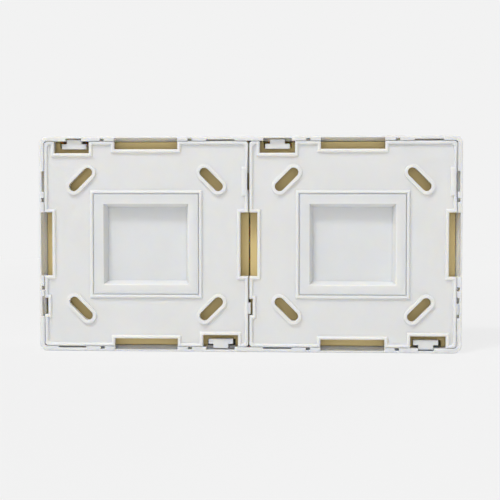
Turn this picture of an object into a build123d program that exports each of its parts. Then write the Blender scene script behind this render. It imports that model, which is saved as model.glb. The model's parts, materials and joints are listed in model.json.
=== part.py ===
from build123d import *
import os
from math import radians, sin

# Two-gang surface block: a rocker switch and an earthed socket under one cover, closed by two back plates.
# Every piece is drawn as seen from the front: x to the right, y up, z out from the wall, sizes in mm.
# WALL stands the drawing upright, so the wall face lies at y 0 and the front looks along minus y.
WALL = Plane.XZ

# Back plates and cover
PLATE_SIDE = 81.0
PLATE_GAP = 0.4
PLATE_CLEARANCE = 0.1
PLATE_FLOOR = 1.8
PLATE_CORNER = 0.8
COVER_WALL = 1.9
COVER_CORNER = 3.0
COVER_DEPTH = 42.5
FRONT_WALL = 2.2
FRONT_FILLET = 2.0
RIM_CHAMFER = 0.3

# Raised bead on the wall side of a back plate
BEAD_WIDTH = 1.35
BEAD_HEIGHT = 0.9
BEAD_CHAMFER = 0.4

# Openings of a back plate
NOTCH_WIDTH = 25.0
NOTCH_DEPTH = 3.1
SLOT_LENGTH = 11.5
SLOT_WIDTH = 3.7
SLOT_FROM_SIDE = 14.6
SLOT_FROM_TOP = 15.0
LATCH_WINDOW_WIDTH = 13.8
LATCH_WINDOW_DEPTH = 4.6
LATCH_FROM_SIDE = 11.0
JOG_LENGTH = 6.4
JOG_DEPTH = 1.3
JOG_FROM_TOP = 15.8
BAY_LENGTH = 8.7
KEYWAY_LENGTH = 6.7
KEYWAY_DEPTH = 0.35
TAB_WIDTH = 4.4
TAB_REACH = 0.9
TAB_DROP = 0.5

# Latch tees, break-outs and pockets in the cover wall
TEE_BAR_WIDTH = 9.7
TEE_BAR_THICK = 2.0
TEE_STEM_WIDTH = 5.9
TEE_INSET = 1.0
TEE_BACK = 1.6
TEE_ROOT = 1.8
TEE_SLIT = 0.5
OUTER_TEE_SHIFT = 0.8
OUTER_TEE_GAP = 0.2
LATCH_POCKET_WIDTH = 11.2
LATCH_POCKET_DEPTH = 1.1
LATCH_PLAY = 0.3
LATCH_GRIP = 0.5
RELIEF_DEPTH = 0.6
SIDE_RELIEF_DEPTH = 0.9
SIDE_RELIEF_LENGTH = 8.0
RELIEF_HEIGHT = 3.0
BREAKOUT_DEPTH = 1.2
BREAKOUT_FLAT = 3.8
KEY_POCKET = 1.6
KEY_POCKET_DEPTH = 1.0
KEY_POCKET_OFFSET = 17.4

# Cable entry plug
PLUG_WIDTH = 41.6
PLUG_HEIGHT = 39.5
PLUG_CLEARANCE = 0.15
PLUG_FLANGE = 1.4
PLUG_SINK = 0.2
LEDGE_WIDTH = 1.6
RECESS_WIDTH = 33.8
RECESS_HEIGHT = 31.8
RECESS_DEPTH = 4.2
RECESS_SLOPE = 1.3
PAN_WALL = 1.2
NUB_WIDTH = 3.5
NUB_PLAY = 0.05

# Mechanism carriers
CARRIER_GAP = 0.6
CARRIER_CORNER = 2.0
CARRIER_BACK = 6.0
CARRIER_THICK = 2.5
POST_FROM_SIDE = 7.5
POST_Y = 17.0
POST_SIDE = 6.0
PRONG_THICK = 2.4
PRONG_WIDTH = 4.0
PRONG_HOOK = 0.6
PRONG_RISE = 1.8
PRONG_GAP = 0.2
CABLE_WINDOW_WIDTH = 10.0
CABLE_WINDOW_HEIGHT = 8.0
CABLE_WINDOW_X = 13.0
CABLE_WINDOW_Y = 27.0

# Front windows, shared by the rocker and the socket face
WINDOW_SIDE = 61.8
WINDOW_CORNER = 3.4
COLLAR_WALL = 1.4
COLLAR_HEIGHT = 4.3
FACE_CLEARANCE = 0.4
FACE_PROUD = 1.5
FACE_SKIN = 2.2
FACE_SKIRT = 1.6
FACE_CHAMFER = 0.8

# Rocker and its see-saw contact
PIVOT_DEPTH = 6.5
PIN_RADIUS = 1.5
PIN_CLEARANCE = 0.05
ROCKER_TILT = 3.5
ROCKER_SKIRT = 7.0
ROCKER_DISH = 1.0
EAR_X = 18.0
EAR_THICK = 2.5
EAR_RADIUS = 2.8
EAR_FOOT = 18.0
LUG_GAP = 0.5
LUG_THICK = 2.4
LUG_RADIUS = 3.4
TUBE_RADIUS = 3.6
TUBE_RISE = 7.9
PLUNGER_RADIUS = 1.95
PLUNGER_CLEARANCE = 0.15
PLUNGER_GAP = 0.2
SPRING_WIRE = 0.5
SPRING_LENGTH = 6.6
SPRING_ROOF = 2.6
SPRING_PITCH = 3.4
FULCRUM_Z = 15.0
FULCRUM_CLEARANCE = 0.06
SEESAW_TILT = 8.0
SEESAW_LENGTH = 24.0
SEESAW_WIDTH = 8.0
SEESAW_THICK = 1.0
SEESAW_SEAT = 0.1
TIP_OFFSET = 10.0
TIP_RADIUS = 1.5
TIP_HEIGHT = 0.7
TIP_GAP = 0.1
CHEEK_X = 5.4
CHEEK_THICK = 2.0
CHEEK_LENGTH = 32.0
CHEEK_HEIGHT = 11.5
STOP_WIDTH = 2.0
STOP_GAP = 0.2

# Metal strips, terminals and the face screw
STRIP_THICK = 0.8
STRIP_WIDTH = 6.0
STRIP_BEND = 0.6
SWITCH_TERMINAL = 20.0
TERMINAL_END = 5.0
CLAMP_SIDE = 7.0
CLAMP_THICK = 1.0
SCREW_HOLE_GAP = 0.1
DRIVE_SLOT = 0.8
DRIVE_DEPTH = 0.9

# Socket
WELL_RADIUS = 19.6
WELL_WALL = 1.6
WELL_FLOOR = 2.5
WELL_CHAMFER = 0.9
PIN_SPACING = 19.0
PIN_HOLE_RADIUS = 2.7
PLUG_PIN_LENGTH = 19.0
PIN_END_GAP = 0.5
PIN_FLOOR = 1.0
GUIDE_WIDTH = 4.8
GUIDE_REACH = 2.4
GUIDE_TOP_GAP = 2.0
FLANGE_SIDE = 66.0
FLANGE_THICK = 1.6
FLANGE_GAP = 0.4
FORK_GAP = 4.9
FORK_WIDTH = 6.0
FORK_WEB = 3.6
FORK_TOP_GAP = 1.5
SHROUD_GAP = 0.7
SHROUD_WALL = 1.1
SHROUD_HEIGHT = 11.5
LINE_TAB_WIDTH = 7.0
LINE_TERMINAL = 25.0
BOSS_SIDE = 6.0
EARTH_GAP = 0.2
EARTH_CLAMP_GAP = 2.9
EARTH_PILLAR = 9.0
CLIP_WIDTH = 4.6
CLIP_GAP = 0.6
CLIP_STAND_OFF = 1.4
CLIP_REACH = 1.8
CLIP_TOP_DEPTH = 5.4
CLIP_END_RISE = 3.0
CLIP_SLOT_MARGIN = 1.2
FACE_SHANK = 1.5
FACE_HEAD = 2.9
FACE_HEAD_HEIGHT = 1.4
FACE_SCREW_LENGTH = 15.0

# Levels and widths that follow from the sizes above
EDGE = PLATE_SIDE / 2
SLOT_X = EDGE - SLOT_FROM_SIDE
SLOT_Y = EDGE - SLOT_FROM_TOP
LATCH_OFFSET = EDGE - LATCH_FROM_SIDE
JOG_OFFSET = EDGE - JOG_FROM_TOP
POST_X = EDGE - POST_FROM_SIDE
PITCH = PLATE_SIDE + PLATE_GAP
SWITCH_X = -PITCH / 2
SOCKET_X = PITCH / 2
CAVITY_HEIGHT = PLATE_SIDE + 2 * PLATE_CLEARANCE
CAVITY_WIDTH = PITCH + CAVITY_HEIGHT
INNER_WALL = CAVITY_HEIGHT / 2
PLATE_FRONT = BEAD_HEIGHT + PLATE_FLOOR
LEDGE_Z = PLUG_SINK + PLUG_FLANGE
TEE_FRONT = CARRIER_BACK - LATCH_PLAY
CARRIER_SIDE = PITCH - CARRIER_GAP
CARRIER_FRONT = CARRIER_BACK + CARRIER_THICK
COLLAR_BACK = COVER_DEPTH - FRONT_WALL - COLLAR_HEIGHT
FACE_FRONT = COVER_DEPTH + FACE_PROUD
FACE_SIDE = WINDOW_SIDE - 2 * FACE_CLEARANCE
STRIP_TOP = CARRIER_FRONT + STRIP_THICK
PIVOT_Z = FACE_FRONT - PIVOT_DEPTH
ROCKER_SWING = PIVOT_DEPTH * sin(radians(ROCKER_TILT))
ROCKER_INNER = FACE_FRONT - ROCKER_DISH - FACE_SKIN
PLUNGER_TIP = FULCRUM_Z + SEESAW_THICK - SEESAW_SEAT + PLUNGER_GAP
TUBE_END_Z = PLUNGER_TIP + TUBE_RISE
TUBE_BORE = PLUNGER_RADIUS + PLUNGER_CLEARANCE
SPRING_BACK = ROCKER_INNER - SPRING_ROOF - SPRING_LENGTH
PLUNGER_TOP = SPRING_BACK - SPRING_WIRE
FULCRUM_RADIUS = STRIP_THICK / 2
TIP_LOW = (TIP_OFFSET + TIP_RADIUS) * sin(radians(SEESAW_TILT)) + TIP_HEIGHT + SEESAW_SEAT
FIXED_TIP_TOP = FULCRUM_Z - TIP_LOW - TIP_GAP
STOP_Y = SEESAW_LENGTH / 2 - STOP_WIDTH
STOP_TOP = FULCRUM_Z - SEESAW_SEAT - SEESAW_LENGTH / 2 * sin(radians(SEESAW_TILT)) - STOP_GAP
PIN_END = CARRIER_BACK + PIN_FLOOR
WELL_BOTTOM = PIN_END + PIN_END_GAP + PLUG_PIN_LENGTH
WELL_BACK = WELL_BOTTOM - WELL_FLOOR
WELL_OUTER = WELL_RADIUS + WELL_WALL
FLANGE_TOP = COLLAR_BACK - FLANGE_GAP
EARTH_TOP = WELL_BACK - EARTH_GAP
EARTH_BACK = EARTH_TOP - STRIP_THICK
FORK_TOP = WELL_BACK - FORK_TOP_GAP
CLIP_Y = WELL_OUTER + CLIP_STAND_OFF
CLIP_TOP_Z = FACE_FRONT - CLIP_TOP_DEPTH
CLIP_END_Z = WELL_BOTTOM + CLIP_END_RISE
EARTH_TERMINAL = CLIP_Y + EARTH_CLAMP_GAP + CLAMP_SIDE / 2
POST_PLACES = [(x, y) for x in (-POST_X, POST_X) for y in (-POST_Y, POST_Y)]
SLOT_PLACES = [(x, y) for x in (-SLOT_X, SLOT_X) for y in (-SLOT_Y, SLOT_Y)]


def block(x0, x1, y0, y1, z0, z1):
    """A rectangular block between two corners."""
    return Pos((x0 + x1) / 2, (y0 + y1) / 2, (z0 + z1) / 2) * Box(x1 - x0, y1 - y0, z1 - z0)


def rod(radius, z0, z1, x=0.0, y=0.0):
    """A round bar along z."""
    return Pos(x, y, (z0 + z1) / 2) * Cylinder(radius, z1 - z0)


def cross_rod(radius, x0, x1, y, z):
    """A round bar along x."""
    return Pos((x0 + x1) / 2, y, z) * Rot(0, 90, 0) * Cylinder(radius, x1 - x0)


def slab(sketch, z0, z1):
    """A flat outline raised from one level to another."""
    return extrude(Pos(0, 0, z0) * sketch, z1 - z0)


def strip(points, width):
    """A metal strip bent in the y-z plane, as wide as given across x."""
    section = trace(FilletPolyline(*points, radius=STRIP_BEND), STRIP_THICK)
    return extrude(Plane.YZ * section, width / 2, both=True)


def tilted(shape, angle, z):
    """A shape turned about the cross axis at one level."""
    return Pos(0, 0, z) * Rot(angle, 0, 0) * Pos(0, 0, -z) * shape


def plate_outline(inset):
    """Outline of a back plate, drawn in by the inset along every edge."""
    grow = 2 * inset
    shape = Rectangle(PLATE_SIDE - grow, PLATE_SIDE - grow)
    for turn in (0, 90, 180, 270):
        shape -= Rot(0, 0, turn) * Pos(0, EDGE) * Rectangle(NOTCH_WIDTH + grow, 2 * NOTCH_DEPTH + grow)
    for turn in (0, 180):
        window = Rectangle(LATCH_WINDOW_WIDTH + grow, 2 * LATCH_WINDOW_DEPTH + grow)
        shape -= Rot(0, 0, turn) * Pos(LATCH_OFFSET, EDGE) * window
    shape -= Pos(EDGE, -JOG_OFFSET) * Rectangle(2 * JOG_DEPTH + grow, JOG_LENGTH + grow)
    if inset:
        shape -= Pos(-EDGE, JOG_OFFSET) * Rectangle(2 * JOG_DEPTH + grow, BAY_LENGTH + grow)
    corners = shape.vertices().sort_by_distance((0, 0))[-4:]
    return chamfer(corners, PLATE_CORNER)


def slot_outline(grow):
    """The four wall-screw slots, set across the diagonals."""
    slots = Sketch()
    for x, y in SLOT_PLACES:
        turn = -45 if x * y > 0 else 45
        slots += Pos(x, y) * Rot(0, 0, turn) * SlotOverall(SLOT_LENGTH + 2 * grow, SLOT_WIDTH + 2 * grow)
    return slots


def plug_outline(grow):
    """Outline of the cable entry plug, grown along every edge."""
    return Rectangle(PLUG_WIDTH + 2 * grow, PLUG_HEIGHT + 2 * grow)


def snap_post():
    """Post under the carrier, with a hooked prong that snaps through it."""
    half = POST_SIDE / 2
    side = PRONG_THICK / 2
    hook = side + PRONG_HOOK
    catch = CARRIER_FRONT + PRONG_GAP / 2
    tip = catch + PRONG_RISE
    prong = Polygon(
        (-side, PLATE_FRONT), (side, PLATE_FRONT), (side, catch), (hook, catch), (hook, catch + PRONG_HOOK),
        (0, tip), (-side, tip), align=None)
    post = block(-half, half, -half, half, PLATE_FRONT, CARRIER_BACK)
    return post + extrude(Plane.XZ * prong, PRONG_WIDTH / 2, both=True)


def back_plate():
    """Back plate: beads toward the wall, a tab that keys into the next plate, snap posts on the inside."""
    opening = plug_outline(PLUG_CLEARANCE)
    plate = slab(plate_outline(0) - slot_outline(0), BEAD_HEIGHT, PLATE_FRONT)
    edge_ring = plate_outline(0) - plate_outline(BEAD_WIDTH)
    plug_ring = plug_outline(PLUG_CLEARANCE + BEAD_WIDTH) - opening
    for ring in (edge_ring, plug_ring):
        bead = slab(ring, 0, BEAD_HEIGHT)
        plate += chamfer(bead.edges().group_by(Axis.Z)[0], BEAD_CHAMFER)
    plate += slab(slot_outline(BEAD_WIDTH) - slot_outline(0), 0, BEAD_HEIGHT)
    half_way = KEYWAY_LENGTH / 2
    half_tab = TAB_WIDTH / 2
    tab_y = -JOG_OFFSET - TAB_DROP
    plate -= block(-EDGE, KEYWAY_DEPTH - EDGE, JOG_OFFSET - half_way, JOG_OFFSET + half_way, 0, PLATE_FRONT)
    plate += block(-EDGE - TAB_REACH, BEAD_WIDTH - EDGE, tab_y - half_tab, tab_y + half_tab,
                   BEAD_CHAMFER, PLATE_FRONT)
    plate -= slab(opening, BEAD_HEIGHT, LEDGE_Z)
    plate -= slab(plug_outline(-LEDGE_WIDTH), BEAD_HEIGHT, PLATE_FRONT)
    for x, y in POST_PLACES:
        plate += Pos(x, y, 0) * Rot(0, 0, 0 if x > 0 else 180) * snap_post()
    return plate


def entry_plug():
    """Cable entry plug: a flange on the plate's ledge round a pan with sloping walls."""
    floor_z = PLUG_SINK + RECESS_DEPTH

    def mouth(grow, z):
        return Pos(0, 0, z) * Rectangle(RECESS_WIDTH + grow, RECESS_HEIGHT + grow)

    wall = 2 * PAN_WALL
    flange = slab(plug_outline(0), PLUG_SINK, LEDGE_Z)
    flange = chamfer(flange.edges().group_by(Axis.Z)[0], BEAD_CHAMFER / 2)
    nub_reach = PLUG_HEIGHT / 2 + PLUG_CLEARANCE - NUB_PLAY
    nubs = block(-NUB_WIDTH / 2, NUB_WIDTH / 2, -nub_reach, nub_reach, PLUG_SINK + BEAD_CHAMFER, LEDGE_Z)
    slope = 2 * RECESS_SLOPE
    pan = loft([mouth(wall, PLUG_SINK + PLUG_FLANGE / 2), mouth(wall - slope, floor_z + PAN_WALL)])
    hollow = loft([mouth(0, PLUG_SINK), mouth(-slope, floor_z)])
    return flange + nubs + pan - hollow


def wall_places():
    """Places that carry a module's top wall to the walls with an inner tee, an outer tee or none."""
    inner = [Pos(SWITCH_X, 0, 0), Pos(SOCKET_X, 0, 0) * Rot(0, 0, 180)]
    outer = [Pos(SOCKET_X, 0, 0), Pos(SWITCH_X, 0, 0) * Rot(0, 0, 180)]
    ends = [Pos(SWITCH_X, 0, 0) * Rot(0, 0, 90), Pos(SOCKET_X, 0, 0) * Rot(0, 0, -90)]
    return inner, outer, ends


def wall_pocket(x, length, depth, height):
    """A pocket in the inner side of the top wall, open at the rim."""
    return block(x - length / 2, x + length / 2, INNER_WALL - depth, INNER_WALL + depth, 0, height)


def breakout():
    """Thin wall over a cable entry, with a slope back to full thickness just behind the carrier."""
    outer = INNER_WALL + BREAKOUT_DEPTH
    section = Polygon(
        (INNER_WALL, 0), (outer, 0), (outer, BREAKOUT_FLAT), (INNER_WALL, TEE_FRONT), align=None)
    return extrude(Plane.YZ * section, NOTCH_WIDTH / 2, both=True)


def latch_tee(x):
    """Latch tee on the top wall: it stands through the plate's window and grips the carrier's edge."""
    inner = EDGE - TEE_INSET
    skin = INNER_WALL + LATCH_POCKET_DEPTH
    half_stem = TEE_STEM_WIDTH / 2
    half_bar = TEE_BAR_WIDTH / 2
    tee = block(x - half_bar, x + half_bar, inner - TEE_BAR_THICK, inner, TEE_BACK, TEE_FRONT)
    tee += block(x - half_stem, x + half_stem, inner, skin - TEE_SLIT, TEE_BACK, TEE_FRONT)
    tee += block(x - half_stem, x + half_stem, inner, skin, TEE_FRONT - TEE_ROOT, TEE_FRONT)
    return tee


def cover():
    """Two-gang cover: open toward the wall, with a window for the rocker and one for the socket face."""
    corner = COVER_CORNER - COVER_WALL
    outline = RectangleRounded(CAVITY_WIDTH + 2 * COVER_WALL, CAVITY_HEIGHT + 2 * COVER_WALL, COVER_CORNER)
    shell = slab(outline, 0, COVER_DEPTH)
    shell = fillet(shell.edges().group_by(Axis.Z)[-1], FRONT_FILLET)
    shell = chamfer(shell.edges().group_by(Axis.Z)[0], RIM_CHAMFER)
    shell -= slab(RectangleRounded(CAVITY_WIDTH, CAVITY_HEIGHT, corner), 0, COVER_DEPTH - FRONT_WALL)
    for x in (SWITCH_X, SOCKET_X):
        collar = WINDOW_SIDE + 2 * COLLAR_WALL
        shell += Pos(x, 0, 0) * slab(Rectangle(collar, collar), COLLAR_BACK, COVER_DEPTH - FRONT_WALL)
        shell -= Pos(x, 0, 0) * slab(RectangleRounded(WINDOW_SIDE, WINDOW_SIDE, WINDOW_CORNER),
                                     COLLAR_BACK, COVER_DEPTH)
    inner_walls, outer_walls, end_walls = wall_places()
    for place in inner_walls + outer_walls + end_walls:
        shell -= place * breakout()
        for x in (-KEY_POCKET_OFFSET, KEY_POCKET_OFFSET):
            shell -= place * wall_pocket(x, KEY_POCKET, KEY_POCKET_DEPTH, RELIEF_HEIGHT)
    outer_pocket = TEE_STEM_WIDTH + 2 * OUTER_TEE_GAP
    for walls, x, width in ((inner_walls, LATCH_OFFSET, LATCH_POCKET_WIDTH),
                            (outer_walls, LATCH_OFFSET - OUTER_TEE_SHIFT, outer_pocket)):
        for place in walls:
            shell -= place * wall_pocket(x, width, LATCH_POCKET_DEPTH, TEE_FRONT + LATCH_PLAY)
            shell -= place * wall_pocket(-LATCH_OFFSET, LATCH_POCKET_WIDTH, RELIEF_DEPTH, RELIEF_HEIGHT)
            shell += place * latch_tee(x)
    for place in end_walls:
        for x in (-JOG_OFFSET, JOG_OFFSET):
            shell -= place * wall_pocket(x, SIDE_RELIEF_LENGTH, SIDE_RELIEF_DEPTH, RELIEF_HEIGHT)
    return shell


def carrier_board():
    """Insulating board shared by both mechanisms, with the edge cut back where the latch tees grip."""
    outline = Rectangle(CARRIER_SIDE, CARRIER_SIDE)
    board = slab(chamfer(outline.vertices(), CARRIER_CORNER), CARRIER_BACK, CARRIER_FRONT)
    grip = EDGE - TEE_INSET - TEE_BAR_THICK + LATCH_GRIP
    half = LATCH_POCKET_WIDTH / 2
    cut = block(LATCH_OFFSET - half, LATCH_OFFSET + half, grip, EDGE, CARRIER_BACK, CARRIER_FRONT)
    board -= cut + Rot(0, 0, 180) * cut
    for x, y in POST_PLACES:
        hole = Rectangle(PRONG_THICK + 2 * PRONG_GAP, PRONG_WIDTH + 2 * PRONG_GAP)
        board -= Pos(x, y, 0) * slab(hole, CARRIER_BACK, CARRIER_FRONT)
    for x in (-CABLE_WINDOW_X, CABLE_WINDOW_X):
        hole = Rectangle(CABLE_WINDOW_WIDTH, CABLE_WINDOW_HEIGHT)
        board -= Pos(x, -CABLE_WINDOW_Y, 0) * slab(hole, CARRIER_BACK, CARRIER_FRONT)
    return board


def terminal_clamp(strip_top):
    """Square pressure plate of one terminal."""
    return slab(Rectangle(CLAMP_SIDE, CLAMP_SIDE), strip_top, strip_top + CLAMP_THICK)


def switch_carrier():
    """Switch carrier: board, two cheeks round the contacts and two ears that hold the rocker's pins."""
    body = carrier_board()
    ear = Polygon((-EAR_FOOT / 2, CARRIER_FRONT), (EAR_FOOT / 2, CARRIER_FRONT), (EAR_RADIUS, PIVOT_Z),
                  (-EAR_RADIUS, PIVOT_Z), align=None)
    ear += Pos(0, PIVOT_Z) * Circle(EAR_RADIUS)
    ear -= Pos(0, PIVOT_Z) * Circle(PIN_RADIUS + PIN_CLEARANCE)
    ear_plate = extrude(Plane.YZ * ear, EAR_THICK)
    half = CHEEK_LENGTH / 2
    cheek_top = CARRIER_FRONT + CHEEK_HEIGHT
    for side in (0, 1):
        cheek = block(CHEEK_X, CHEEK_X + CHEEK_THICK, -half, half, CARRIER_FRONT, cheek_top)
        stop = block(CHEEK_X - STOP_WIDTH, CHEEK_X, STOP_Y, STOP_Y + STOP_WIDTH, CARRIER_FRONT, STOP_TOP)
        pair = cheek + stop + Pos(EAR_X, 0, 0) * ear_plate
        body += mirror(pair, about=Plane.YZ) if side else pair
    return body


def rocker():
    """Rocker key: dished front, skirt, two lugs with pivot pins and the plunger tube."""
    height = WINDOW_SIDE - 2 * (FACE_CLEARANCE + ROCKER_SWING)
    skirt_end = FACE_FRONT - ROCKER_SKIRT
    corner = WINDOW_CORNER - FACE_CLEARANCE
    key = slab(RectangleRounded(FACE_SIDE, height, corner), skirt_end, FACE_FRONT)
    key = chamfer(key.edges().group_by(Axis.Z)[-1], FACE_CHAMFER)
    bow = ((height / 2) ** 2 + ROCKER_DISH ** 2) / (2 * ROCKER_DISH)
    key -= cross_rod(bow, -FACE_SIDE, FACE_SIDE, 0, FACE_FRONT - ROCKER_DISH + bow)
    inside = Rectangle(FACE_SIDE - 2 * FACE_SKIRT, height - 2 * FACE_SKIRT)
    key -= slab(chamfer(inside.vertices(), FACE_SKIRT), skirt_end, ROCKER_INNER)
    lug_x = EAR_X + EAR_THICK + LUG_GAP
    lug = Pos(0, PIVOT_Z) * Circle(LUG_RADIUS)
    lug += Pos(0, (PIVOT_Z + ROCKER_INNER) / 2) * Rectangle(2 * LUG_RADIUS, ROCKER_INNER - PIVOT_Z)
    plate = Pos(lug_x, 0, 0) * extrude(Plane.YZ * lug, LUG_THICK)
    plate += cross_rod(PIN_RADIUS, EAR_X + LUG_GAP / 2, lug_x + LUG_THICK / 2, 0, PIVOT_Z)
    key += plate + mirror(plate, about=Plane.YZ)
    key += rod(TUBE_RADIUS, TUBE_END_Z, ROCKER_INNER)
    key -= rod(TUBE_BORE, TUBE_END_Z, ROCKER_INNER - SPRING_ROOF)
    return tilted(key, ROCKER_TILT, PIVOT_Z)


def plunger():
    """Spring plunger that drives the see-saw contact from inside the rocker's tube."""
    pin = rod(PLUNGER_RADIUS, PLUNGER_TIP, PLUNGER_TOP)
    pin = chamfer(pin.edges().group_by(Axis.Z)[0], PLUNGER_RADIUS * 0.7)
    return tilted(pin, ROCKER_TILT, PIVOT_Z)


def plunger_spring():
    """Compression spring between the plunger and the roof of its tube."""
    radius = PLUNGER_RADIUS - SPRING_WIRE / 2
    coil = Helix(SPRING_PITCH, SPRING_LENGTH - SPRING_WIRE, radius)
    wire = Plane(origin=coil @ 0, z_dir=coil % 0) * Rectangle(SPRING_WIRE, SPRING_WIRE)
    spring = Pos(0, 0, SPRING_BACK) * sweep(wire, path=coil, is_frenet=True)
    return tilted(spring, ROCKER_TILT, PIVOT_Z)


def seesaw_contact():
    """Moving contact: a plate with a groove that rocks on the common terminal's upright."""
    half = SEESAW_LENGTH / 2
    low = FULCRUM_Z - SEESAW_SEAT
    plate = block(-SEESAW_WIDTH / 2, SEESAW_WIDTH / 2, -half, half, low, low + SEESAW_THICK)
    plate = chamfer(plate.edges().filter_by(Axis.Z), SEESAW_THICK)
    groove = FULCRUM_RADIUS + FULCRUM_CLEARANCE
    plate -= cross_rod(groove, -SEESAW_WIDTH, SEESAW_WIDTH, 0, FULCRUM_Z)
    plate -= block(-SEESAW_WIDTH, SEESAW_WIDTH, -groove, groove, low, FULCRUM_Z)
    return tilted(plate, -SEESAW_TILT, FULCRUM_Z)


def moving_tip():
    """Silver tip under the see-saw contact."""
    top = FULCRUM_Z - SEESAW_SEAT
    return tilted(rod(TIP_RADIUS, top - TIP_HEIGHT, top, 0, -TIP_OFFSET), -SEESAW_TILT, FULCRUM_Z)


def fixed_tip():
    """Silver tip on the fixed terminal."""
    return rod(TIP_RADIUS, FIXED_TIP_TOP - TIP_HEIGHT, FIXED_TIP_TOP, 0, -TIP_OFFSET)


def common_terminal():
    """Terminal strip whose upright end is the fulcrum of the see-saw contact."""
    level = CARRIER_FRONT + STRIP_THICK / 2
    bar = strip([(SWITCH_TERMINAL + TERMINAL_END, level), (0, level), (0, FULCRUM_Z)], STRIP_WIDTH)
    return bar + cross_rod(FULCRUM_RADIUS, -STRIP_WIDTH / 2, STRIP_WIDTH / 2, 0, FULCRUM_Z)


def fixed_terminal():
    """Terminal strip stepped up to carry the fixed tip."""
    level = CARRIER_FRONT + STRIP_THICK / 2
    shelf = FIXED_TIP_TOP - TIP_HEIGHT - STRIP_THICK / 2
    step = -TIP_OFFSET - 3 * TIP_RADIUS
    return strip([(-SWITCH_TERMINAL - TERMINAL_END, level), (step, level), (step, shelf),
                  (-TIP_OFFSET + 1.5 * TIP_RADIUS, shelf)], STRIP_WIDTH)


def socket_carrier():
    """Socket carrier: board, chambers round the pin contacts, a boss and a pillar for the earth strip."""
    body = carrier_board()
    inner = FORK_GAP + 2 * (STRIP_THICK + SHROUD_GAP)
    for side in (-1, 1):
        x = side * PIN_SPACING / 2
        far = side * (LINE_TERMINAL + TERMINAL_END)
        top = CARRIER_FRONT + SHROUD_HEIGHT
        outer = inner + 2 * SHROUD_WALL
        shroud = Pos(x, 0, 0) * slab(Rectangle(outer, outer) - Rectangle(inner, inner), CARRIER_FRONT, top)
        gate = LINE_TAB_WIDTH / 2 + SHROUD_GAP / 2
        body += shroud - block(min(x, far), max(x, far), -gate, gate, CARRIER_FRONT, STRIP_TOP + SHROUD_GAP)
        half = PIN_HOLE_RADIUS
        body -= block(x - half, x + half, -half, half, PIN_END, CARRIER_FRONT)
    body += slab(Rectangle(BOSS_SIDE, BOSS_SIDE), CARRIER_FRONT, EARTH_BACK)
    body -= rod(FACE_SHANK + SCREW_HOLE_GAP, CARRIER_FRONT, EARTH_BACK)
    half = EARTH_PILLAR / 2
    return body + block(-half, half, EARTH_TERMINAL - half, EARTH_TERMINAL + half, CARRIER_FRONT, EARTH_BACK)


def pin_contact(side):
    """Pin contact: a folded fork that grips the plug's pin, on a tab that runs out to its terminal."""
    x = side * PIN_SPACING / 2
    near = x - side * FORK_WEB
    far = side * (LINE_TERMINAL + TERMINAL_END)
    grip = FORK_GAP / 2
    half = LINE_TAB_WIDTH / 2
    tab = block(min(near, far), max(near, far), -half, half, CARRIER_FRONT, STRIP_TOP)
    tab -= block(x - PIN_HOLE_RADIUS, x + PIN_HOLE_RADIUS, -grip, grip, CARRIER_FRONT, STRIP_TOP)
    leaf = block(x - FORK_WIDTH / 2, x + FORK_WIDTH / 2, grip, grip + STRIP_THICK, CARRIER_FRONT, FORK_TOP)
    lead = leaf.edges().group_by(Axis.Z)[-1].sort_by(Axis.Y)[0]
    leaf = chamfer(lead, STRIP_THICK / 2)
    return tab + leaf + mirror(leaf, about=Plane.XZ)


def earth_strip():
    """Earth strip under the well floor, with a spring clip that bows into the well at top and bottom."""
    level = EARTH_BACK + STRIP_THICK / 2
    bow = WELL_RADIUS - CLIP_REACH + STRIP_THICK / 2
    middle = (CLIP_TOP_Z + CLIP_END_Z) / 2
    path = [(0, level), (CLIP_Y, level), (CLIP_Y, CLIP_TOP_Z - CLIP_REACH),
            (CLIP_Y - CLIP_REACH, CLIP_TOP_Z), (bow, middle), (bow + CLIP_REACH / 2, CLIP_END_Z)]
    clip = strip(path, CLIP_WIDTH)
    body = clip + Rot(0, 0, 180) * clip
    end = EARTH_TERMINAL + TERMINAL_END
    body += block(-STRIP_WIDTH / 2, STRIP_WIDTH / 2, 0, end, EARTH_BACK, EARTH_TOP)
    return body - rod(FACE_SHANK + SCREW_HOLE_GAP, EARTH_BACK, EARTH_TOP)


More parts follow.
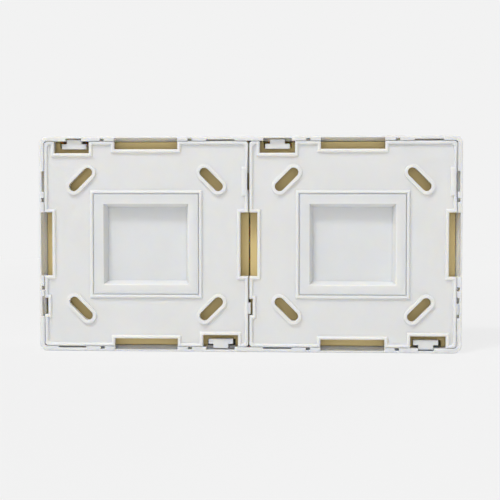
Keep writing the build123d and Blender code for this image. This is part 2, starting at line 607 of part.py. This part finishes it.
def socket_face():
    """Socket face: a square front with a round plug well, pin holes, guides and earth clip slots."""
    corner = WINDOW_CORNER - FACE_CLEARANCE
    flange_back = FLANGE_TOP - FLANGE_THICK
    face = slab(RectangleRounded(FACE_SIDE, FACE_SIDE, corner), flange_back, FACE_FRONT)
    face = chamfer(face.edges().group_by(Axis.Z)[-1], FACE_CHAMFER)
    face += slab(Rectangle(FLANGE_SIDE, FLANGE_SIDE), flange_back, FLANGE_TOP)
    inside = Rectangle(FACE_SIDE - 2 * FACE_SKIRT, FACE_SIDE - 2 * FACE_SKIRT)
    face -= slab(chamfer(inside.vertices(), FACE_SKIRT), flange_back, FACE_FRONT - FACE_SKIN)
    face += rod(WELL_OUTER, WELL_BACK, FACE_FRONT - FACE_SKIN / 2)
    well = rod(WELL_RADIUS, WELL_BOTTOM, FACE_FRONT)
    face -= well
    mouth = face.faces().sort_by(Axis.Z)[-1].inner_wires()[0].edges()
    face = chamfer(mouth, WELL_CHAMFER)
    for turn in (0, 180):
        half = GUIDE_WIDTH / 2
        guide = block(WELL_RADIUS - GUIDE_REACH, WELL_RADIUS + WELL_WALL / 2, -half, half,
                      WELL_BOTTOM, FACE_FRONT - GUIDE_TOP_GAP)
        lead = guide.edges().group_by(Axis.Z)[-1].sort_by(Axis.X)[0]
        face += Rot(0, 0, turn) * chamfer(lead, GUIDE_REACH / 2)
        half = CLIP_WIDTH / 2 + CLIP_GAP
        face -= Rot(0, 0, turn) * block(-half, half, WELL_RADIUS - CLIP_REACH, WELL_OUTER + CLIP_GAP,
                                        CLIP_END_Z - CLIP_SLOT_MARGIN, CLIP_TOP_Z + CLIP_SLOT_MARGIN)
        face -= rod(PIN_HOLE_RADIUS, WELL_BACK, WELL_BOTTOM, (1 if turn else -1) * PIN_SPACING / 2)
    face -= face_screw_form(SCREW_HOLE_GAP)
    return face


def face_screw_form(grow):
    """Countersunk form of the face screw, grown for its hole."""
    cone = Cone(FACE_SHANK + grow, FACE_HEAD + grow, FACE_HEAD_HEIGHT)
    head = Pos(0, 0, WELL_BOTTOM - FACE_HEAD_HEIGHT / 2) * cone
    return head + rod(FACE_SHANK + grow, WELL_BOTTOM - FACE_SCREW_LENGTH, WELL_BOTTOM - FACE_HEAD_HEIGHT / 2)


def face_screw():
    """Countersunk screw that holds the socket face to the carrier's boss."""
    half = DRIVE_SLOT / 2
    slot = block(-FACE_HEAD, FACE_HEAD, -half, half, WELL_BOTTOM - DRIVE_DEPTH, WELL_BOTTOM)
    return face_screw_form(0) - slot


def save(name, x, *solids):
    """Stand one piece up at its module and write it out."""
    placed = [WALL * (Pos(x, 0, 0) * solid) for solid in solids]
    shape = placed[0] if len(placed) == 1 else Compound(children=placed)
    export_step(shape, f"parts/{name}.step")


def main():
    os.makedirs("parts", exist_ok=True)
    save("housing_cover", 0, cover())
    for name, x in (("switch", SWITCH_X), ("socket", SOCKET_X)):
        save(f"back_plate_{name}", x, back_plate())
        save(f"entry_plug_{name}", x, entry_plug())
    save("switch_carrier", SWITCH_X, switch_carrier())
    save("rocker", SWITCH_X, rocker())
    save("rocker_plunger", SWITCH_X, plunger())
    save("plunger_spring", SWITCH_X, plunger_spring())
    save("seesaw_contact", SWITCH_X, seesaw_contact())
    save("moving_tip", SWITCH_X, moving_tip())
    save("fixed_tip", SWITCH_X, fixed_tip())
    save("common_terminal", SWITCH_X, common_terminal())
    save("fixed_terminal", SWITCH_X, fixed_terminal())
    ends = [Pos(0, y, 0) for y in (-SWITCH_TERMINAL, SWITCH_TERMINAL)]
    save("terminal_clamps_switch", SWITCH_X, *[end * terminal_clamp(STRIP_TOP) for end in ends])
    save("socket_carrier", SOCKET_X, socket_carrier())
    save("socket_face", SOCKET_X, socket_face())
    save("pin_contact_left", SOCKET_X, pin_contact(-1))
    save("pin_contact_right", SOCKET_X, pin_contact(1))
    save("earth_strip", SOCKET_X, earth_strip())
    sides = [Pos(x, 0, 0) for x in (-LINE_TERMINAL, LINE_TERMINAL)]
    save("line_clamps", SOCKET_X, *[side * terminal_clamp(STRIP_TOP) for side in sides])
    save("earth_clamp", SOCKET_X, Pos(0, EARTH_TERMINAL, 0) * terminal_clamp(EARTH_TOP))
    save("face_screw", SOCKET_X, face_screw())


main()
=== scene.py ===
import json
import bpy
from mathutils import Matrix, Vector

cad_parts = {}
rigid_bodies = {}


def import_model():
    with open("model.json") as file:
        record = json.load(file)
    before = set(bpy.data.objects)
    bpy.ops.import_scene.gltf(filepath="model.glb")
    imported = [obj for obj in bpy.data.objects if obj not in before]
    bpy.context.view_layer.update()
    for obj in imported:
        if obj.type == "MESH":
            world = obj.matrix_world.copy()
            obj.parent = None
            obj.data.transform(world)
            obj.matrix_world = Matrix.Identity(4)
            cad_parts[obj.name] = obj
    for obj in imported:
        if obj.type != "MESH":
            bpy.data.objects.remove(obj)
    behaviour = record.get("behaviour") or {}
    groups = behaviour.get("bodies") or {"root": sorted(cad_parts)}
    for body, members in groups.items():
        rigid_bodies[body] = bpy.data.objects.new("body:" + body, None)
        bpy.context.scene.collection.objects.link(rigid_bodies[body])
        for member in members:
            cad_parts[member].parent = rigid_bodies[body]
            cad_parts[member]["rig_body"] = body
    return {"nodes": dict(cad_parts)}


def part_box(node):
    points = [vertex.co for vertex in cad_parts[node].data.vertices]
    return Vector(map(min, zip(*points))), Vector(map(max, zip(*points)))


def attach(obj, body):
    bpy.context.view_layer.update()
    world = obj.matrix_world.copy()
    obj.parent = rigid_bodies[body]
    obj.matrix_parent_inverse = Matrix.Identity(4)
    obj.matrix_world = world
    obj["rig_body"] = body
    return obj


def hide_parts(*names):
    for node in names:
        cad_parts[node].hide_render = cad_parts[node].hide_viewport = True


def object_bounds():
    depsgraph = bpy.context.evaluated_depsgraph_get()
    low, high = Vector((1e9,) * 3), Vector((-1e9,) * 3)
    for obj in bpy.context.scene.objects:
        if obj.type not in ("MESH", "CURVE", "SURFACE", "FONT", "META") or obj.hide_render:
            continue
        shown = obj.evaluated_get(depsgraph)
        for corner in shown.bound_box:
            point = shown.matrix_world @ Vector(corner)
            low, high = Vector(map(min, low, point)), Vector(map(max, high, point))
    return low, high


bl_info = {
    "name": "Switch and socket block",
    "version": (1, 0, 0),
    "blender": (4, 5, 0),
    "location": "View3D > Sidebar > Block",
    "description": "Dresses a two-gang surface switch and socket block",
    "category": "Object",
}

from math import cos, radians, sin

import bmesh
import bpy
from mathutils import Matrix, Vector

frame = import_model()
CAD_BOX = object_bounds()

MM = 0.001
# a corner closer to a line than this lies on it
NO_GAP = 1e-7
# corners closer than this are one corner
WELD = 0.002 * MM
# faces that meet at a flatter angle than this are one face
FLAT = radians(0.5)
# an edge that turns by more than this is rounded
SHARP = radians(28)
# a rounding needs this many times its width beside it
ROOM = 2.2
# an edge that turns by less than this is shaded smooth
SMOOTH = radians(32)
# this share of a whole counts as all of it
NEARLY_ALL = 0.99
# roughness of moulded plastic wanders by this much, in patches this many millimetres wide
RUB_SPREAD = 0.05
RUB_SIZE = 5
# a metal's texture changes at this share of the pace along the strip, so its streaks are long
STREAK_PACE = 0.06
# depth of those streaks, and how far they take the roughness below and above the metal's own
STREAK_DEPTH = 0.02 * MM
STREAK_SMOOTHER = 0.08
STREAK_ROUGHER = 0.12
# a screw's seat is worked out to this many decimals of a metre
SEAT_DECIMALS = 5
# half a terminal clamp's width, in thicknesses of the clamp
CLAMP_HALF = 3.5
# a terminal screw's head: rounding of its rim and depth of its slot as shares of its height,
# rim left round the slot and half the slot's width as shares of its radius
RIM_ROUND = 0.25
SLOT_DEPTH = 0.45
SLOT_MARGIN = 0.15
SLOT_HALF = 0.16
# radius of the floor, and where it turns into the backdrop, in metres
FLOOR_RADIUS = 6.0
FADE_START = 0.1
FADE_END = 0.8
# share of the backdrop's own tone in the floor near the object
NEAR_SHARE = 0.85
# grey of the floor's paint
FLOOR_GREY = 0.9
# name, stage setting that holds the watts, width and place in metres, whether reflections show it
LAMPS = (
    ("soft_key", "key_power", 1.3, (0.5, 1.0, 1.4), True),
    ("upper_left", "upper_power", 0.3, (0.5, 0.85, 1.47), False),
    ("soft_fill", "fill_power", 0.3, (0.0, 0.9, 0.12), False),
    ("soft_front", "front_power", 0.5, (-0.5, -1.2, 0.22), False),
)


def linear(hex_colour):
    """An sRGB hex colour as linear RGBA."""
    parts = [int(hex_colour[i:i + 2], 16) / 255 for i in (1, 3, 5)]
    return [c / 12.92 if c <= 0.04045 else ((c + 0.055) / 1.055) ** 2.4 for c in parts] + [1.0]


def per_mm(size):
    """Texture scale for a pattern whose features are this many millimetres wide."""
    return 1 / (size * MM)


def colour(name, description, hex_colour):
    """A colour that a user can change."""
    return bpy.props.FloatVectorProperty(
        name=name, description=description, subtype="COLOR", size=4, min=0, max=1,
        default=linear(hex_colour))


def length(name, description, millimetres):
    """A length that a user can change."""
    return bpy.props.FloatProperty(
        name=name, description=description, unit="LENGTH", min=0, default=millimetres * MM)


def angle(name, description, degrees):
    """An angle that a user can change."""
    return bpy.props.FloatProperty(
        name=name, description=description, subtype="ANGLE", default=radians(degrees))


def watts(name, description, power):
    """A lamp's power that a user can change."""
    return bpy.props.FloatProperty(
        name=name, description=description, unit="POWER", min=0, default=power)


class BlockFinish(bpy.types.PropertyGroup):
    """Colours of the block's materials."""
    white: colour("White", "Moulded white of the back plates and the cover", "#E3E3E2")
    front_white: colour("Front white", "Polished white of the rocker and the socket face", "#E4E4E2")
    tan: colour("Tan", "Insulating carriers", "#E6CF92")
    brass: colour("Brass", "Contacts and strips", "#D8B565")
    zinc: colour("Zinc", "Screws, clamps and the spring", "#BFC1C0")
    silver: colour("Silver", "Contact tips", "#DADAD8")
    nylon: colour("Nylon", "Plunger", "#E0DCCF")


class BlockSizes(bpy.types.PropertyGroup):
    """Sizes of what is added to the solids."""
    soft_edge: length("Soft edge", "Rounding of the moulded edges", 0.12)
    rim_edge: length("Rim edge", "Rounding of the cover's edges", 0.1)
    screw_head: length("Screw head", "Radius of a terminal screw's head", 2.6)
    screw_height: length("Screw height", "Height of a terminal screw's head", 1.7)


class BlockStage(bpy.types.PropertyGroup):
    """Floor, light and camera."""
    backdrop: colour("Backdrop", "Pale floor and background", "#F2F2F2")
    distance: length("Distance", "Camera to object", 450)
    lens: bpy.props.FloatProperty(
        name="Lens", description="Focal length in millimetres", unit="CAMERA", default=82.5)
    azimuth: angle("Azimuth", "Camera's turn from the front", 183.2)
    elevation: angle("Elevation", "Camera's height above the horizon", 2.4)
    aim: bpy.props.FloatVectorProperty(
        name="Aim", description="Point that the camera looks at", unit="LENGTH",
        default=(-0.0005, 0.0, -0.0022))
    key_power: watts("Key", "Watts of the wide lamp above the wall side", 11.5)
    upper_power: watts("Upper", "Watts of the small lamp that draws the recesses' shadows", 11.0)
    fill_power: watts("Fill", "Watts of the lamp near the camera", 1.1)
    front_power: watts("Front", "Watts of the lamp on the front side", 10.0)
    sky: bpy.props.FloatProperty(
        name="Sky", description="Strength of the even light all round", min=0, default=0.28)


def node(tree, kind, links=(), **settings):
    """Adds a node with its settings; links are (input, source socket) pairs."""
    made = tree.nodes.new(kind)
    for key, value in settings.items():
        if key.startswith("in_"):
            made.inputs[key.removeprefix("in_").replace("_", " ")].default_value = value
        else:
            setattr(made, key, value)
    for socket, source in links:
        tree.links.new(source, made.inputs[socket])
    return made


def blank(name):
    """An empty material and its Object coordinates and shader."""
    material = bpy.data.materials.new(name)
    material.use_nodes = True
    tree = material.node_tree
    tree.nodes.clear()
    shader = node(tree, "ShaderNodeBsdfPrincipled")
    node(tree, "ShaderNodeOutputMaterial", [("Surface", shader.outputs["BSDF"])])
    place = node(tree, "ShaderNodeTexCoord").outputs["Object"]
    return material, tree, shader, place


def seen_straight(tree):
    """A value that is 1 for what the camera or a reflection sees and 0 for light that bounces on."""
    path = node(tree, "ShaderNodeLightPath")
    seen = node(tree, "ShaderNodeMath", operation="MAXIMUM",
                links=[(0, path.outputs["Is Camera Ray"]), (1, path.outputs["Is Glossy Ray"])])
    return seen.outputs["Value"]


def mottled(tree, place, base, size, dark):
    """A base colour that drifts toward a darker one in soft patches of the given size."""
    noise = node(tree, "ShaderNodeTexNoise", [("Vector", place)], in_Scale=per_mm(size), in_Detail=2.0)
    shade = [c * dark for c in base[:3]] + [1.0]
    # the noise seldom leaves the range from 0.2 to 0.8, so no patch gets a hard edge
    ramp = node(tree, "ShaderNodeValToRGB", [("Fac", noise.outputs["Fac"])])
    ramp.color_ramp.elements[0].position = 0.2
    ramp.color_ramp.elements[0].color = shade
    ramp.color_ramp.elements[1].position = 0.8
    ramp.color_ramp.elements[1].color = base
    return ramp.outputs["Color"]


def moulded_plastic(name, base, rough, grain, depth, glow, reach):
    """Injection-moulded plastic: faint flow in the colour, fine mould grain and a little depth of light."""
    material, tree, shader, place = blank(name)
    tree.links.new(mottled(tree, place, base, size=14, dark=0.965), shader.inputs["Base Color"])
    rub = node(tree, "ShaderNodeTexNoise", [("Vector", place)], in_Scale=per_mm(RUB_SIZE), in_Detail=6.0)
    polish = node(tree, "ShaderNodeMapRange", [("Value", rub.outputs["Fac"])],
                  in_To_Min=rough - RUB_SPREAD, in_To_Max=rough + RUB_SPREAD)
    tree.links.new(polish.outputs["Result"], shader.inputs["Roughness"])
    # mould grain is about 0.1 mm on the real part, drawn three to four times as coarse to show in the render
    speck = node(tree, "ShaderNodeTexNoise", [("Vector", place)], in_Scale=per_mm(grain), in_Detail=2.0)
    bump = node(tree, "ShaderNodeBump", [("Height", speck.outputs["Fac"])],
                in_Strength=0.25, in_Distance=depth * MM)
    tree.links.new(bump.outputs["Normal"], shader.inputs["Normal"])
    shader.inputs["IOR"].default_value = 1.53
    shader.inputs["Subsurface Weight"].default_value = glow
    shader.inputs["Subsurface Radius"].default_value = (1.0, 0.85, 0.6)
    shader.inputs["Subsurface Scale"].default_value = reach * MM
    return material


def stamped_metal(name, base, rough, streak):
    """Rolled and stamped metal: fine streaks along the strip, slightly uneven tone and a soft gloss."""
    material, tree, shader, place = blank(name)
    tree.links.new(mottled(tree, place, base, size=3, dark=0.8), shader.inputs["Base Color"])
    stretch = node(tree, "ShaderNodeMapping", [("Vector", place)], in_Scale=(1.0, 1.0, STREAK_PACE))
    lines = node(tree, "ShaderNodeTexNoise", [("Vector", stretch.outputs["Vector"])],
                 in_Scale=per_mm(streak), in_Detail=3.0)
    gloss = node(tree, "ShaderNodeMapRange", [("Value", lines.outputs["Fac"])],
                 in_To_Min=rough - STREAK_SMOOTHER, in_To_Max=rough + STREAK_ROUGHER)
    tree.links.new(gloss.outputs["Result"], shader.inputs["Roughness"])
    bump = node(tree, "ShaderNodeBump", [("Height", lines.outputs["Fac"])],
                in_Strength=0.2, in_Distance=STREAK_DEPTH)
    tree.links.new(bump.outputs["Normal"], shader.inputs["Normal"])
    shader.inputs["Metallic"].default_value = 1.0
    return material


def dress(name, material):
    """Gives a CAD node's object a material of its own."""
    mesh = frame["nodes"][name].data
    mesh.materials.clear()
    mesh.materials.append(material)


def roomy(edge, need):
    """Whether the edges at both ends of an edge, and the faces beside it, are at least this wide."""
    if any(other.calc_length() < need for v in edge.verts for other in v.link_edges):
        return False
    start = edge.verts[0].co
    along = (edge.verts[1].co - start).normalized()
    for v in {v for face in edge.link_faces for v in face.verts} - set(edge.verts):
        reach = (v.co - start).dot(along)
        apart = (v.co - start - along * reach).length
        if -need < reach < edge.calc_length() + need and NO_GAP < apart < need:
            return False
    return True


def soften(name, width, material, slot):
    """Puts a copy with edges rounded, where there is room, in place of a moulded node."""
    source = frame["nodes"][name]
    bm = bmesh.new()
    bm.from_mesh(source.data)
    bmesh.ops.remove_doubles(bm, verts=bm.verts, dist=WELD)
    bmesh.ops.dissolve_limit(bm, angle_limit=FLAT, verts=bm.verts, edges=bm.edges)
    sharp = [e for e in bm.edges if len(e.link_faces) == 2 and e.calc_face_angle() > SHARP]
    free = [e for e in sharp if roomy(e, ROOM * width)]
    bmesh.ops.bevel(bm, geom=free, offset=width, offset_type="OFFSET", segments=2, profile=0.5,
                    affect="EDGES", material=-1)
    bmesh.ops.dissolve_degenerate(bm, edges=bm.edges, dist=WELD)
    # a mitre at a short step can stand out by a few hundredths of a millimetre
    low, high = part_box(name)
    for v in bm.verts:
        v.co = [min(max(c, a), b) for c, a, b in zip(v.co, low, high)]
    mesh = bpy.data.meshes.new("moulded_" + name)
    bm.to_mesh(mesh)
    bm.free()
    place_piece(mesh, material, slot, source["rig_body"], name)


def place_piece(mesh, material, slot, body, *nodes):
    """Links a finished mesh as a piece of the object."""
    mesh.materials.clear()
    mesh.materials.append(material)
    mesh.shade_smooth()
    mesh.set_sharp_from_angle(angle=SMOOTH)
    piece = bpy.data.objects.new(mesh.name, mesh)
    bpy.context.scene.collection.objects.link(piece)
    even = piece.modifiers.new("even_normals", "WEIGHTED_NORMAL")
    even.keep_sharp = True
    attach(piece, body)
    if nodes:
        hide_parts(*nodes)


class BLOCK_OT_back_plates(bpy.types.Operator):
    """Back plates and cable entry plugs in moulded white"""
    bl_idname = "block.back_plates"
    bl_label = "Back plates"

    def execute(self, context):
        finish, sizes = context.scene.block_finish, context.scene.block_sizes
        # ABS, moulded in a spark-eroded tool: bright satin white that glows a little in thin walls
        white = moulded_plastic("abs_moulded_white", finish.white, rough=0.42, grain=0.3, depth=0.03,
                                glow=0.9, reach=2.5)
        for side in ("switch", "socket"):
            for part in ("back_plate", "entry_plug"):
                soften(f"{part}_{side}", sizes.soft_edge, white, "white_plastic")
        return {"FINISHED"}


class BLOCK_OT_cover(bpy.types.Operator):
    """Two-gang cover in moulded white"""
    bl_idname = "block.cover"
    bl_label = "Cover"

    def execute(self, context):
        finish, sizes = context.scene.block_finish, context.scene.block_sizes
        # ABS again, from a smoother tool: the same white with a closer gloss
        white = moulded_plastic("abs_cover_white", finish.white, rough=0.34, grain=0.3, depth=0.02,
                                glow=0.9, reach=2.5)
        soften("housing_cover", sizes.rim_edge, white, "white_plastic")
        return {"FINISHED"}


class BLOCK_OT_front(bpy.types.Operator):
    """Rocker and socket face in polished white"""
    bl_idname = "block.front"
    bl_label = "Rocker and socket face"

    def execute(self, context):
        finish, sizes = context.scene.block_finish, context.scene.block_sizes
        # ABS from a polished tool: smooth, with clear reflections on the parts that are touched
        white = moulded_plastic("abs_polished_white", finish.front_white, rough=0.21, grain=0.4,
                                depth=0.008, glow=0.15, reach=1.5)
        for name in ("rocker", "socket_face"):
            soften(name, sizes.soft_edge, white, "white_plastic")
        return {"FINISHED"}


class BLOCK_OT_carriers(bpy.types.Operator):
    """Insulating carriers of the switch and the socket"""
    bl_idname = "block.carriers"
    bl_label = "Carriers"

    def execute(self, context):
        # urea moulding: warm tan, dry and slightly cloudy
        tan = moulded_plastic("urea_carrier_tan", context.scene.block_finish.tan, rough=0.55, grain=0.35,
                              depth=0.02, glow=0.1, reach=1.0)
        for name in ("switch_carrier", "socket_carrier"):
            dress(name, tan)
        return {"FINISHED"}


class BLOCK_OT_contacts(bpy.types.Operator):
    """Brass strips, silver tips, steel clamps, spring and face screw, nylon plunger"""
    bl_idname = "block.contacts"
    bl_label = "Contacts"

    def execute(self, context):
        finish = context.scene.block_finish
        # half-hard brass strip: yellow metal with fine rolling lines
        brass = stamped_metal("brass_stamped_strip", finish.brass, rough=0.32, streak=0.12)
        # zinc on steel: pale grey with a faint bloom
        zinc = stamped_metal("steel_zinc_plated", finish.zinc, rough=0.38, streak=0.2)
        # fine silver: the brightest of the three, dulled by switching
        silver = stamped_metal("silver_contact_tip", finish.silver, rough=0.3, streak=0.15)
        # natural nylon: milky, lets some light in
        nylon = moulded_plastic("nylon_natural", finish.nylon, rough=0.4, grain=0.3, depth=0.01,
                                glow=0.4, reach=2.0)
        group = {brass: ("seesaw_contact", "common_terminal", "fixed_terminal", "pin_contact_left",
                         "pin_contact_right", "earth_strip"),
                 zinc: ("terminal_clamps_switch", "line_clamps", "earth_clamp", "face_screw",
                        "plunger_spring"),
                 silver: ("moving_tip", "fixed_tip"),
                 nylon: ("rocker_plunger",)}
        for material, names in group.items():
            for name in names:
                dress(name, material)
        return {"FINISHED"}


class BLOCK_OT_terminal_screws(bpy.types.Operator):
    """Slotted screws on the terminal clamps"""
    bl_idname = "block.terminal_screws"
    bl_label = "Terminal screws"

    def execute(self, context):
        sizes = context.scene.block_sizes
        zinc = bpy.data.materials["steel_zinc_plated"]
        for name in ("terminal_clamps_switch", "line_clamps", "earth_clamp"):
            low, high = (Vector(corner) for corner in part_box(name))
            half = (high.y - low.y) * CLAMP_HALF
            spots = {(round(x, SEAT_DECIMALS), round(z, SEAT_DECIMALS))
                     for x in (low.x + half, high.x - half) for z in (low.z + half, high.z - half)}
            bm = bmesh.new()
            for x, z in sorted(spots):
                self.screw(bm, Vector((x, low.y, z)), sizes.screw_head, sizes.screw_height)
            mesh = bpy.data.meshes.new("screws_" + name)
            bm.to_mesh(mesh)
            bm.free()
            place_piece(mesh, zinc, "zinc_steel", "housing_body")
        return {"FINISHED"}

    def screw(self, bm, seat, radius, height):
        """One head with rounded rim and a driver slot, standing on its seat and facing the front."""
        stand = Matrix.Translation(seat - Vector((0, height / 2, 0))) @ Matrix.Rotation(radians(90), 4, "X")
        made = bmesh.ops.create_cone(bm, cap_ends=True, segments=28, radius1=radius, radius2=radius,
                                     depth=height, matrix=stand)
        front = seat.y - height * NEARLY_ALL
        edges = {e for v in made["verts"] for e in v.link_edges}
        rim = [e for e in edges if all(v.co.y < front for v in e.verts)]
        bmesh.ops.bevel(bm, geom=rim, offset=height * RIM_ROUND, offset_type="OFFSET", segments=3,
                        profile=0.5, affect="EDGES", material=-1)
        # the front of this head, and not of one beside it
        cap = min((f for f in bm.faces if (f.calc_center_median() - seat).length < 2 * height),
                  key=lambda f: f.calc_center_median().y)
        bmesh.ops.inset_individual(bm, faces=[cap], thickness=radius * SLOT_MARGIN)
        for side in (-1, 1):
            faces = self.flat_faces(bm, seat, radius)
            corners = {v for f in faces for v in f.verts}
            edges = {e for f in faces for e in f.edges}
            bmesh.ops.bisect_plane(bm, geom=[*faces, *edges, *corners], plane_no=(0, 0, 1),
                                   plane_co=seat + Vector((0, 0, side * radius * SLOT_HALF)))
        strip = min(self.flat_faces(bm, seat, radius),
                    key=lambda f: (f.calc_center_median() - seat).xz.length)
        pulled = bmesh.ops.extrude_face_region(bm, geom=[strip])
        floor = [v for v in pulled["geom"] if isinstance(v, bmesh.types.BMVert)]
        bmesh.ops.translate(bm, verts=floor, vec=(0, height * SLOT_DEPTH, 0))
        bmesh.ops.delete(bm, geom=[strip], context="FACES_ONLY")

    def flat_faces(self, bm, seat, radius):
        """The faces of one head that look straight to the front."""
        return [f for f in bm.faces
                if f.normal.y < -NEARLY_ALL and (f.calc_center_median() - seat).xz.length < radius]


class BLOCK_OT_stage(bpy.types.Operator):
    """Pale floor, soft light and the photograph's camera"""
    bl_idname = "block.stage"
    bl_label = "Stage"

    def execute(self, context):
        stage = context.scene.block_stage
        self.floor(context, stage.backdrop)
        self.sky(context, stage)
        self.lamps(context, stage)
        self.camera(context, stage)
        context.scene.view_settings.view_transform = "Standard"
        return {"FINISHED"}

    def floor(self, context, pale):
        """A wide pale floor that keeps a soft shadow and otherwise matches the background."""
        bm = bmesh.new()
        bmesh.ops.create_circle(bm, cap_ends=True, segments=64, radius=FLOOR_RADIUS)
        bmesh.ops.translate(bm, verts=bm.verts, vec=(0, 0, CAD_BOX[0][2]))
        mesh = bpy.data.meshes.new("floor")
        bm.to_mesh(mesh)
        bm.free()
        material = bpy.data.materials.new("painted_floor")
        material.use_nodes = True
        tree = material.node_tree
        tree.nodes.clear()
        paint = node(tree, "ShaderNodeBsdfDiffuse", in_Color=[FLOOR_GREY, FLOOR_GREY, FLOOR_GREY, 1.0])
        glow = node(tree, "ShaderNodeEmission", in_Color=pale)
        seen = seen_straight(tree)
        # near the object some paint shows, so the shadow stays; farther off it turns into the backdrop
        place = node(tree, "ShaderNodeTexCoord")
        away = node(tree, "ShaderNodeVectorMath", [("Vector", place.outputs["Object"])], operation="LENGTH")
        fade = node(tree, "ShaderNodeMapRange", [("Value", away.outputs["Value"])],
                    interpolation_type="SMOOTHSTEP",
                    in_From_Min=FADE_START, in_From_Max=FADE_END, in_To_Min=NEAR_SHARE, in_To_Max=1.0)
        share = node(tree, "ShaderNodeMath", [(0, seen), (1, fade.outputs["Result"])],
                     operation="MULTIPLY")
        mix = node(tree, "ShaderNodeMixShader", [("Fac", share.outputs["Value"])])
        tree.links.new(paint.outputs["BSDF"], mix.inputs[1])
        tree.links.new(glow.outputs["Emission"], mix.inputs[2])
        node(tree, "ShaderNodeOutputMaterial", [("Surface", mix.outputs["Shader"])])
        mesh.materials.append(material)
        floor = bpy.data.objects.new("floor", mesh)
        context.scene.collection.objects.link(floor)

    def sky(self, context, stage):
        """Even light all round; the camera and reflections see the backdrop's own tone."""
        world = bpy.data.worlds.new("studio")
        context.scene.world = world
        world.use_nodes = True
        tree = world.node_tree
        tree.nodes.clear()
        seen = seen_straight(tree)
        soft = node(tree, "ShaderNodeBackground", in_Color=[1.0, 1.0, 1.0, 1.0], in_Strength=stage.sky)
        pale = node(tree, "ShaderNodeBackground", in_Color=stage.backdrop)
        mix = node(tree, "ShaderNodeMixShader", [("Fac", seen)])
        tree.links.new(soft.outputs["Background"], mix.inputs[1])
        tree.links.new(pale.outputs["Background"], mix.inputs[2])
        node(tree, "ShaderNodeOutputWorld", [("Surface", mix.outputs["Shader"])])

    def lamps(self, context, stage):
        """Two lamps above the wall side, wide and small, one near the camera and one for the front."""
        for name, power, size, place, mirrored in LAMPS:
            data = bpy.data.lights.new(name, "AREA")
            data.shape = "DISK"
            data.size = size
            data.energy = getattr(stage, power)
            lamp = bpy.data.objects.new(name, data)
            lamp.location = place
            lamp.visible_glossy = mirrored
            lamp.rotation_euler = (-Vector(place)).to_track_quat("-Z", "Y").to_euler()
            context.scene.collection.objects.link(lamp)

    def camera(self, context, stage):
        """Camera behind the block, a little above it."""
        data = bpy.data.cameras.new("camera")
        data.sensor_width = 36.0
        data.lens = stage.lens
        camera = bpy.data.objects.new("camera", data)
        flat = cos(stage.elevation)
        away = Vector((sin(stage.azimuth) * flat, -cos(stage.azimuth) * flat, sin(stage.elevation)))
        camera.location = Vector(stage.aim) + away * stage.distance
        camera.rotation_euler = (-away).to_track_quat("-Z", "Y").to_euler()
        context.scene.collection.objects.link(camera)
        context.scene.camera = camera


OPERATORS = (BLOCK_OT_back_plates, BLOCK_OT_cover, BLOCK_OT_front, BLOCK_OT_carriers, BLOCK_OT_contacts,
             BLOCK_OT_terminal_screws, BLOCK_OT_stage)


class BLOCK_PT_panel(bpy.types.Panel):
    """Lists the block's pieces"""
    bl_idname = "BLOCK_PT_panel"
    bl_label = "Switch and socket block"
    bl_space_type = "VIEW_3D"
    bl_region_type = "UI"
    bl_category = "Block"

    def draw(self, context):
        for group in (context.scene.block_finish, context.scene.block_sizes, context.scene.block_stage):
            box = self.layout.box()
            for key in group.__annotations__:
                box.prop(group, key)
        for operator in OPERATORS:
            self.layout.operator(operator.bl_idname)


CLASSES = (BlockFinish, BlockSizes, BlockStage) + OPERATORS + (BLOCK_PT_panel,)


def register():
    for cls in CLASSES:
        bpy.utils.register_class(cls)
    bpy.types.Scene.block_finish = bpy.props.PointerProperty(type=BlockFinish)
    bpy.types.Scene.block_sizes = bpy.props.PointerProperty(type=BlockSizes)
    bpy.types.Scene.block_stage = bpy.props.PointerProperty(type=BlockStage)


def unregister():
    del bpy.types.Scene.block_stage
    del bpy.types.Scene.block_sizes
    del bpy.types.Scene.block_finish
    for cls in reversed(CLASSES):
        bpy.utils.unregister_class(cls)


def main():
    register()
    bpy.ops.block.back_plates()
    bpy.ops.block.cover()
    bpy.ops.block.front()
    bpy.ops.block.carriers()
    bpy.ops.block.contacts()
    bpy.ops.block.terminal_screws()
    bpy.ops.block.stage()


if __name__ == "__main__":
    main()
